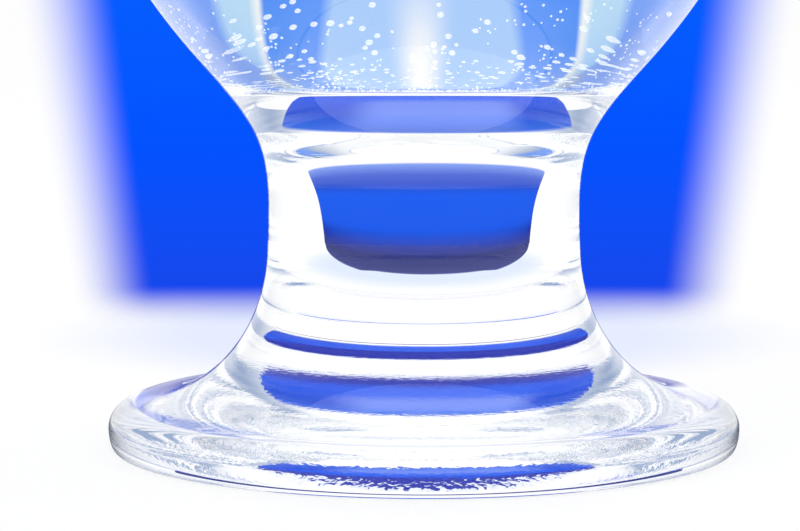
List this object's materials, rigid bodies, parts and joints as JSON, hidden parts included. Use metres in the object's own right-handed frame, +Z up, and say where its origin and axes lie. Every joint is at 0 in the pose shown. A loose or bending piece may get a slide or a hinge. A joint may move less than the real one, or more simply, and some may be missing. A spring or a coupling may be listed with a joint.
{
  "type": "water glass",
  "caption": "Clear pressed-glass water goblet: a tulip bowl holding water, a short thick waisted stem and a wide foot with a rounded edge, to drink from at table.",
  "frame": {"origin": "on the table, at the middle of the standing ring under the foot", "axes": "+Z up along the glass's axis, from the foot to the mouth; the glass is round, so +X and +Y are free"},
  "size_m": [0.08, 0.08, 0.13],
  "materials": {
    "glass": "clear pressed and fire-polished soda-lime glass",
    "water": "clear sparkling water with fine bubbles"
  },
  "bodies": {
    "root": {"foot": "glass", "stem": "glass", "bowl": "glass", "water": "water"}
  },
  "joints": []
}
